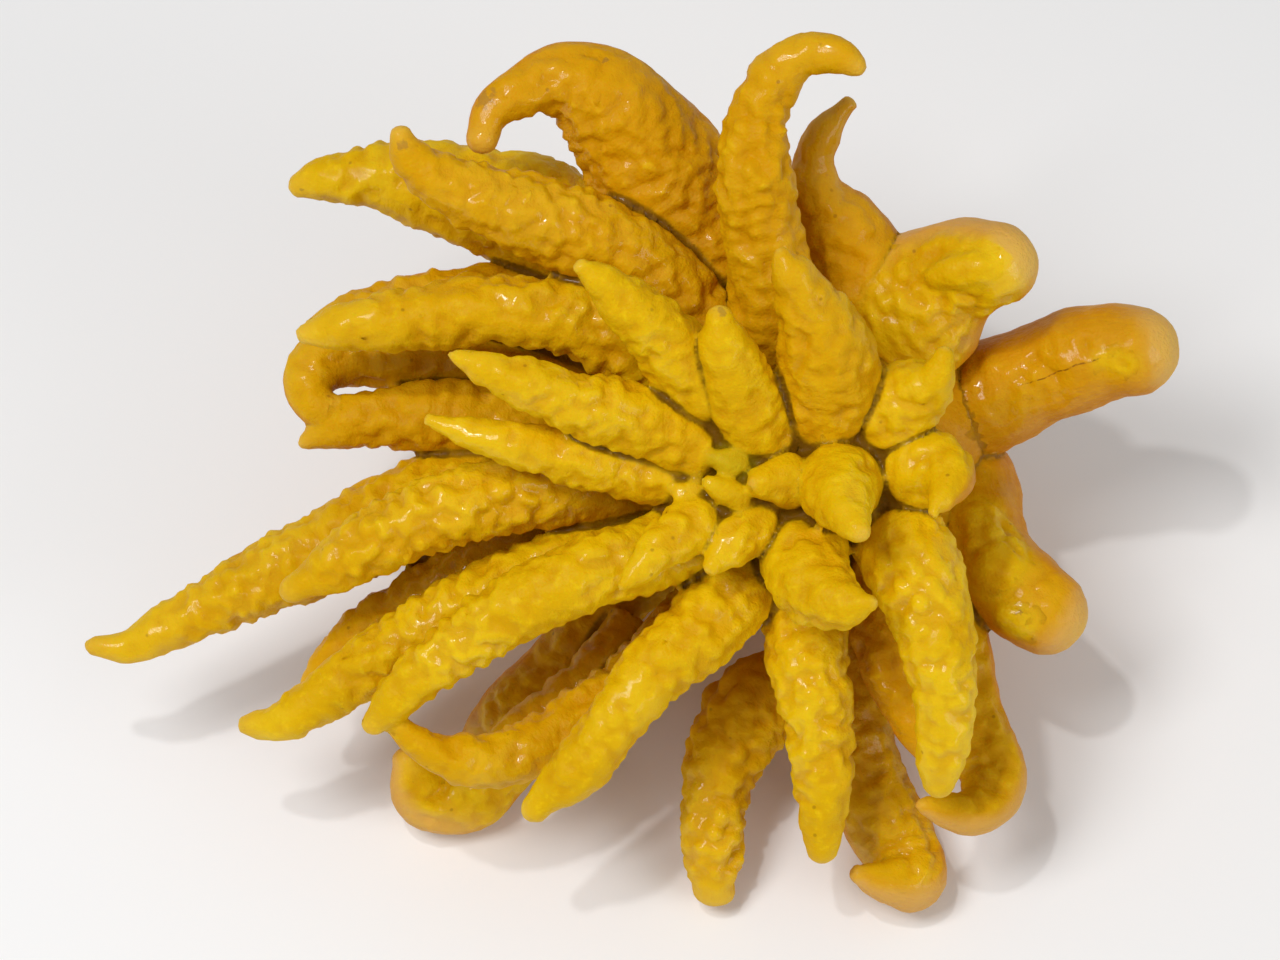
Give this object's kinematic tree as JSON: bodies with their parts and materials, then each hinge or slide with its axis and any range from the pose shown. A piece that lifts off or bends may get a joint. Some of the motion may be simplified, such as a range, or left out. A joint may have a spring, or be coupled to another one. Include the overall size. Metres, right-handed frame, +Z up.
{
  "type": "buddhas hand citron",
  "caption": "Buddha's hand citron lying on its side: a rounded body whose yellow rind parts into tapering, hooked fingers.",
  "frame": {"origin": "on the surface the fruit lies on, under the middle of its bounding box", "axes": "+Z up; +X along the longest spread, to the right of the face of the hand; the face, where the fingers open, looks up and towards -Y"},
  "size_m": [0.2602, 0.1618, 0.1602],
  "materials": {
    "rind": "satin, knobbly, saturated golden yellow with amber on the smooth outer sides",
    "stalk": "matt, dull green-brown"
  },
  "bodies": {
    "root": {"fruit": "rind", "stalk": "stalk"}
  },
  "joints": []
}
